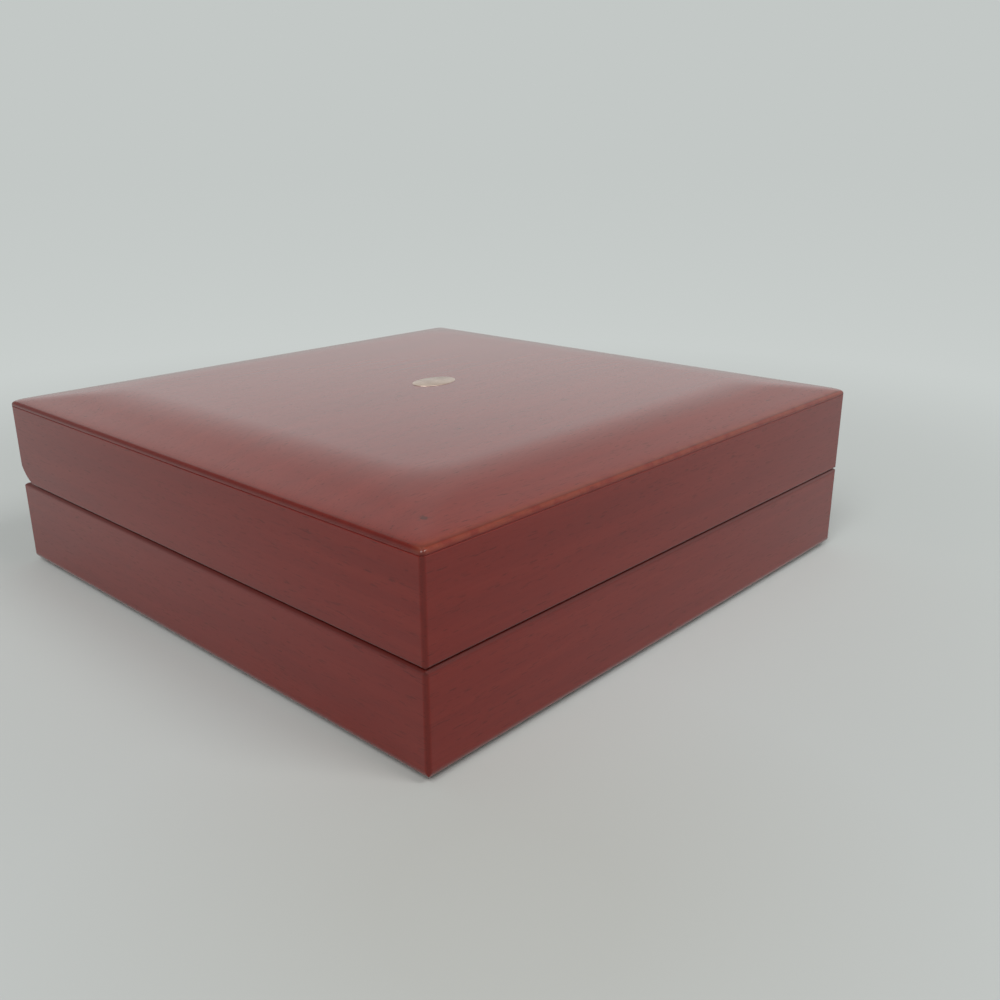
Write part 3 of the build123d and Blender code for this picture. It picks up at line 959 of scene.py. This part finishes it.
@dataclass
class Lid:
    """The lid: four mitred rails, the pillow-shaped top board, its inlay and the padded lining."""

    finishes: Finishes
    pillow_rise: float = 4.75 * MM
    pillow_inset: float = 19.5 * MM
    pillow_cuts: int = 94
    hip_round: float = 14.0 * MM
    hip_share: float = 0.8
    crest_round: float = 1.95 * MM
    # The bevel is steeper beside the arris, by this share and over this share of its width
    fall_off: float = 0.8
    fall_off_reach: float = 0.13
    plug_inset: float = 13.15 * MM
    corner_round: float = 1.2 * MM
    arris_round: float = 0.9 * MM
    joint_round: float = 0.15 * MM
    # The board's flat middle lies this much below the inlay's face
    inlay_proud: float = 0.12 * MM
    inlay_round: float = 0.1 * MM
    # The pad starts smaller than its room, and swells by as much as pad_most
    pad_margin: float = 1.2 * MM
    pad_room: float = 1.4 * MM
    pad_voxel: float = 2.2 * MM
    pad_pressure: float = 3.0
    pad_most: float = 3.0 * MM
    glued_depth: float = 1.2 * MM
    back_depth: float = 1.0 * MM
    seam_inset: float = 9.0 * MM
    seam_depth: float = 1.8 * MM
    seam_width: float = 1.4 * MM
    pucker_depth: float = 0.5 * MM
    pucker_reach: float = 5.0 * MM
    # Radians of the puckers' wave for each metre along the seam
    pucker_turn: float = 0.9 / MM
    pucker_waver: float = 1.3
    waver_pitch: float = 12.0 * MM
    loose_depth: float = 0.35 * MM
    loose_pitch: float = 28.0 * MM

    def build(self) -> None:
        """Builds the top board, the inlay and the lining, and dresses the rails."""
        paint_nodes(self.finishes.wood_x, "lid_front_rail", "lid_back_rail")
        paint_nodes(self.finishes.wood_y, "lid_left_rail", "lid_right_rail")
        paint_nodes(self.finishes.nickel, "lid_magnets")
        self.top_board()
        self.inlay()
        self.lining()

    def top_board(self) -> None:
        """Models the pillow: a thin square edge, a long bevel and a soft crest round a flat middle."""
        low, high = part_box("lid_top_panel")
        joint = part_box("lid_front_rail")[1].z
        eave = high.z - self.pillow_rise
        start, end = Vector((low.x, low.y, joint)), Vector((high.x, high.y, eave))
        board = Piece.from_box("pillow_top_board", start, end)
        board.edit()
        board.pick_faces(lambda face: face.normal.z > 0.5)
        bpy.ops.mesh.subdivide(number_cuts=self.pillow_cuts)
        board.done()
        board.move_points(
            lambda co: co + Vector((0, 0, self._swell(co, high.x, high.y) if co.z > eave - NEAR else 0))
        )
        board.edit()
        board.pick_edges(lambda a, b: abs(a.z - b.z) > self.arris_round and min(a.z, b.z) < eave - NEAR)
        bpy.ops.mesh.bevel(offset=self.corner_round, segments=5, affect="EDGES")
        for height, size in ((eave, self.arris_round), (joint, self.joint_round)):
            board.pick_edges(lambda a, b, z=height: abs(a.z - z) < NEAR and abs(b.z - z) < NEAR)
            bpy.ops.mesh.bevel(offset=size, segments=4, affect="EDGES")
        board.pick_faces(lambda face: face.normal.z < -0.99 and face.calc_center_median().z < joint + NEAR)
        bpy.ops.mesh.inset(thickness=self.plug_inset - self.joint_round)
        bpy.ops.mesh.extrude_region_move(TRANSFORM_OT_translate={"value": (0, 0, low.z - joint)})
        board.done()
        board.modify("WEIGHTED_NORMAL")
        board.dress(self.finishes.wood_top, "lid", "lacquered_mahogany", "lid_top_panel")

    def _swell(self, co: Vector, half_width: float, half_depth: float) -> float:
        """Gives the pillow's height above its arris, with soft hips and a soft crest.

        Args:
            co: a point of the board's top.
            half_width: half the board's width, in metres.
            half_depth: half the board's depth, in metres.

        Returns:
            The height in metres.
        """
        dx, dy = half_width - abs(co.x), half_depth - abs(co.y)
        inset = soft_least(dx, dy, min(self.hip_round, self.hip_share * max(min(dx, dy), 0.0)))
        share = inset / self.pillow_inset
        share += self.fall_off * share * math.exp(-share / self.fall_off_reach)
        return soft_least(share * self.pillow_rise, self.pillow_rise - self.inlay_proud, self.crest_round)

    def inlay(self) -> None:
        """Models the plain oval inlay as a thin plate with a softened rim."""
        low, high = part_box("lid_inlay")
        plate = Piece.from_disc("oval_inlay_plate", low, high)
        plate.edit()
        plate.pick_faces(lambda face: face.normal.z > 0.5)
        bpy.ops.mesh.bevel(offset=self.inlay_round, segments=3, affect="EDGES")
        plate.done()
        plate.smooth(degrees=35)
        plate.dress(self.finishes.inlay, "lid", "brass", "lid_inlay")

    def lining(self) -> None:
        """Models the padded lining: foam under satin, glued above, with a sewn line round its border."""
        low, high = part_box("lid_lining")
        margin = Vector((self.pad_margin, self.pad_margin, 0))
        room = Vector((0, 0, self.pad_room))
        pad = Piece.from_box("padded_lid_lining", low + margin + room, high - margin)
        pad.obj.data.remesh_voxel_size = self.pad_voxel
        bpy.ops.object.voxel_remesh()
        pad.inflate(self.pad_pressure, self.pad_most, glued=lambda co: co.z > high.z - self.glued_depth)
        pad.move_points(lambda co: co if co.z > high.z - self.back_depth else self._sewn(co, low, high))
        pad.modify("SUBSURF", levels=1, render_levels=1)
        pad.smooth(degrees=80)
        pad.dress(self.finishes.satin, "lid", "lid_satin", "lid_lining")

    def _sewn(self, co: Vector, low: Vector, high: Vector) -> Vector:
        """Draws the lining's cover in along its sewn line, with puckers beside it and a loose middle.

        Args:
            co: a point of the cover.
            low: the lowest corner of the lining's room.
            high: the highest corner of the lining's room.

        Returns:
            The point's new place.
        """
        across, beside = high.x - abs(co.x), high.y - abs(co.y)
        from_seam = min(across, beside) - self.seam_inset
        along = co.x if beside < across else co.y
        waver = self.pucker_waver * noise.noise(co / self.waver_pitch)
        pucker = 0.5 + 0.5 * math.sin(along * self.pucker_turn + waver)
        groove = self.seam_depth * math.exp(-((from_seam / self.seam_width) ** 2))
        ripple = self.pucker_depth * pucker * math.exp(-((from_seam / self.pucker_reach) ** 2))
        loose = self.loose_depth * noise.noise(Vector((co.x, co.y, 0)) / self.loose_pitch)
        return Vector((co.x, co.y, min(max(co.z + groove + ripple + loose, low.z), high.z)))


@dataclass
class Base:
    """The base: four mitred rails, the bottom board, its felt and the lining of its floor."""

    finishes: Finishes

    def build(self) -> None:
        """Dresses the rails, the bottom and what is glued on it."""
        paint_nodes(self.finishes.wood_x, "base_front_rail", "base_back_rail", "base_bottom_panel")
        paint_nodes(self.finishes.wood_y, "base_left_rail", "base_right_rail")
        paint_nodes(self.finishes.felt, "base_felt")
        paint_nodes(self.finishes.velvet, "base_floor_lining")
        paint_nodes(self.finishes.nickel, "base_magnets")


@dataclass
class Hinges:
    """Two brass butt hinges with their pins and screws."""

    finishes: Finishes

    def build(self) -> None:
        """Dresses the leaves, the pins and the screws."""
        for side in ("left", "right"):
            paint_nodes(
                self.finishes.brass,
                f"{side}_hinge_base_leaf",
                f"{side}_hinge_lid_leaf",
                f"{side}_hinge_pin",
            )
        paint_nodes(self.finishes.screw, "base_hinge_screws", "lid_hinge_screws")


@dataclass
class Trays:
    """The two stacked trays, with velvet over their boards, and the ring rolls of the upper one."""

    finishes: Finishes
    roll_count: int = 7
    # The top edges' rounding, as a share of the roll's depth
    roll_top_round: float = 0.47
    roll_end_round: float = 2.5 * MM
    roll_voxel: float = 0.9 * MM
    roll_seed: int = 11
    dent_pitch: float = 11.0 * MM
    dent_depth: float = 0.35 * MM
    dent_room: float = 0.25 * MM

    def build(self) -> None:
        """Dresses both trays and models the ring rolls."""
        for tray in ("lower_tray", "upper_tray"):
            paint_nodes(self.finishes.velvet, f"{tray}_floor", *(f"{tray}_{side}_wall" for side in SIDES))
        paint_nodes(self.finishes.velvet, *(f"lower_tray_{side}_divider" for side in SIDES))
        paint_nodes(
            self.finishes.velvet, *(f"upper_tray_{name}_divider" for name in ("long", "cross", "short"))
        )
        for number in range(1, self.roll_count + 1):
            self.ring_roll(number)

    def ring_roll(self, number: int) -> None:
        """Models one roll: foam in a velvet sleeve, full along its top and closed at its ends.

        Args:
            number: which roll, from the front.
        """
        low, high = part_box(f"ring_roll_{number}")
        size = high - low
        roll = Piece.from_box(f"padded_ring_roll_{number}", low, high)
        roll.edit()
        roll.pick_edges(lambda a, b: min(a.z, b.z) > high.z - NEAR and abs(a.y - b.y) < NEAR)
        bpy.ops.mesh.bevel(offset=size.y * self.roll_top_round, segments=8, affect="EDGES")
        roll.pick_faces(lambda face: abs(face.normal.x) > 0.9)
        bpy.ops.mesh.bevel(offset=self.roll_end_round, segments=4, affect="EDGES")
        roll.done()
        roll.modify("REMESH", mode="VOXEL", voxel_size=self.roll_voxel)
        shift = random.Random(self.roll_seed + number).uniform(0, 100)

        def swollen(co: Vector) -> Vector:
            """Makes the roll's top a little uneven along its length.

            Args:
                co: a point of the roll.

            Returns:
                The point's new place.
            """
            up = (co.z - low.z) / size.z
            dent = self.dent_depth * noise.noise(Vector((co.x / self.dent_pitch, shift, 0)))
            return Vector((co.x, co.y, min(co.z + up * (dent - self.dent_room), high.z)))

        roll.move_points(swollen)
        roll.modify("SMOOTH", iterations=4, factor=0.5)
        roll.smooth(degrees=80)
        roll.dress(self.finishes.roll_velvet, "base", "tray_velvet", f"ring_roll_{number}")


@dataclass
class Studio:
    """The floor, the light and the camera."""

    floor_radius: float = 8.0
    backdrop: str = "#c3c8c6"
    doorway: tuple[float, float, float] = (-0.37, 0.82, 0.43)
    doorway_edge: tuple[float, float] = (0.86, 0.96)
    doorway_light: float = 0.35
    bright_wall: str = "#f1f1f0"
    upper_wall: str = "#dfdcd8"
    warm_ceiling: str = "#b5aa99"
    daylight: str = "#f6f6f4"
    fill_strength: float = 0.27
    eye_mm: tuple[float, float, float] = (-219.57, -230.51, 127.95)
    azimuth: float = 47.396
    down: float = 18.989
    roll: float = -0.217
    lens_mm: float = 36.216
    sensor_mm: float = 36.0

    def build(self) -> None:
        """Makes the stage."""
        self.floor()
        self.world()
        self.lamps()
        self.camera()
        bpy.context.scene.view_settings.view_transform = "Standard"

    def floor(self) -> None:
        """Makes a round floor that reaches past the horizon of every view."""
        bpy.ops.object.select_all(action="DESELECT")
        bpy.ops.mesh.primitive_circle_add(vertices=128, radius=self.floor_radius, fill_type="NGON")
        floor = bpy.context.object
        floor.name = "studio_floor"
        floor.data.materials.append(PaintedFloor(far=self.backdrop).build())

    def world(self) -> None:
        """Makes an even pale surrounding. Gloss shows a light wall, a warm ceiling and a dark doorway."""
        world = bpy.data.worlds.new("studio_world")
        bpy.context.scene.world = world
        world.use_nodes = True
        tree = world.node_tree
        tree.nodes.clear()
        path = add_node(tree, "LightPath")
        mirrored = add_node(
            tree,
            "Math",
            {0: path.outputs["Is Glossy Ray"], 1: path.outputs["Is Transmission Ray"]},
            operation="MAXIMUM",
        )
        way = add_node(tree, "TexCoord")
        axes = add_node(tree, "SeparateXYZ", {0: way.outputs["Generated"]})
        # What gloss shows at each height, from 0 at the horizon to 1 straight above
        wall = add_node(
            tree,
            "ValToRGB",
            {"Fac": axes.outputs["Z"]},
            stops=(
                (0.05, self.backdrop),
                (0.15, self.bright_wall),
                (0.28, self.bright_wall),
                (0.40, self.upper_wall),
                (0.60, self.upper_wall),
                (0.85, self.warm_ceiling),
            ),
        )
        light = add_node(
            tree, "Background", {"Color": linear(self.daylight), "Strength": self.fill_strength}
        )
        shown = add_node(tree, "Background", {"Color": linear(self.backdrop), "Strength": 1.0})
        towards = add_node(
            tree,
            "VectorMath",
            {0: way.outputs["Generated"], 1: Vector(self.doorway).normalized()},
            operation="DOT_PRODUCT",
        )
        lit = add_node(
            tree,
            "MapRange",
            {"Value": towards.outputs["Value"], **limits(self.doorway_edge, (1.0, self.doorway_light))},
        )
        gleam = add_node(tree, "Background", {"Color": wall, "Strength": lit})
        seen = add_node(tree, "MixShader", {0: path.outputs["Is Camera Ray"], 1: light, 2: shown})
        mixed = add_node(tree, "MixShader", {0: mirrored, 1: seen, 2: gleam})
        add_node(tree, "OutputWorld", {"Surface": mixed})

    def lamps(self) -> None:
        """Hangs soft lamps to the left and in front of the object, and a weak one overhead."""
        for name, place, size, power in (
            ("left_softbox", (-1.25, -0.7, 1.5), 1.2, 26.4),
            ("front_softbox", (0.35, -1.35, 1.4), 0.7, 11.4),
            ("overhead_softbox", (0.1, 0.2, 1.8), 1.0, 1.8),
        ):
            data = bpy.data.lights.new(name, "AREA")
            data.shape = "SQUARE"
            data.size = size
            data.energy = power
            lamp = bpy.data.objects.new(name, data)
            bpy.context.scene.collection.objects.link(lamp)
            lamp.location = place
            lamp.rotation_euler = (-Vector(place)).to_track_quat("-Z", "Y").to_euler()

    def camera(self) -> None:
        """Puts the camera where the photograph was taken from."""
        data = bpy.data.cameras.new("camera")
        data.lens = self.lens_mm
        data.sensor_width = self.sensor_mm
        data.clip_start = 0.01
        data.clip_end = 50.0
        camera = bpy.data.objects.new("camera", data)
        bpy.context.scene.collection.objects.link(camera)
        turn = (
            Matrix.Rotation(math.radians(-self.azimuth), 4, "Z")
            @ Matrix.Rotation(math.radians(90 - self.down), 4, "X")
            @ Matrix.Rotation(math.radians(self.roll), 4, "Z")
        )
        camera.matrix_world = Matrix.Translation(Vector(self.eye_mm) * MM) @ turn
        bpy.context.scene.camera = camera


def main() -> None:
    """Builds the case and its stage."""
    logging.basicConfig(level=logging.INFO, format="%(name)s: %(message)s")
    Studio().build()
    finishes = Finishes()
    for part in (Lid(finishes), Base(finishes), Hinges(finishes), Trays(finishes)):
        part.build()
        log.info("%s is built", type(part).__name__)


if __name__ == "__main__":
    main()
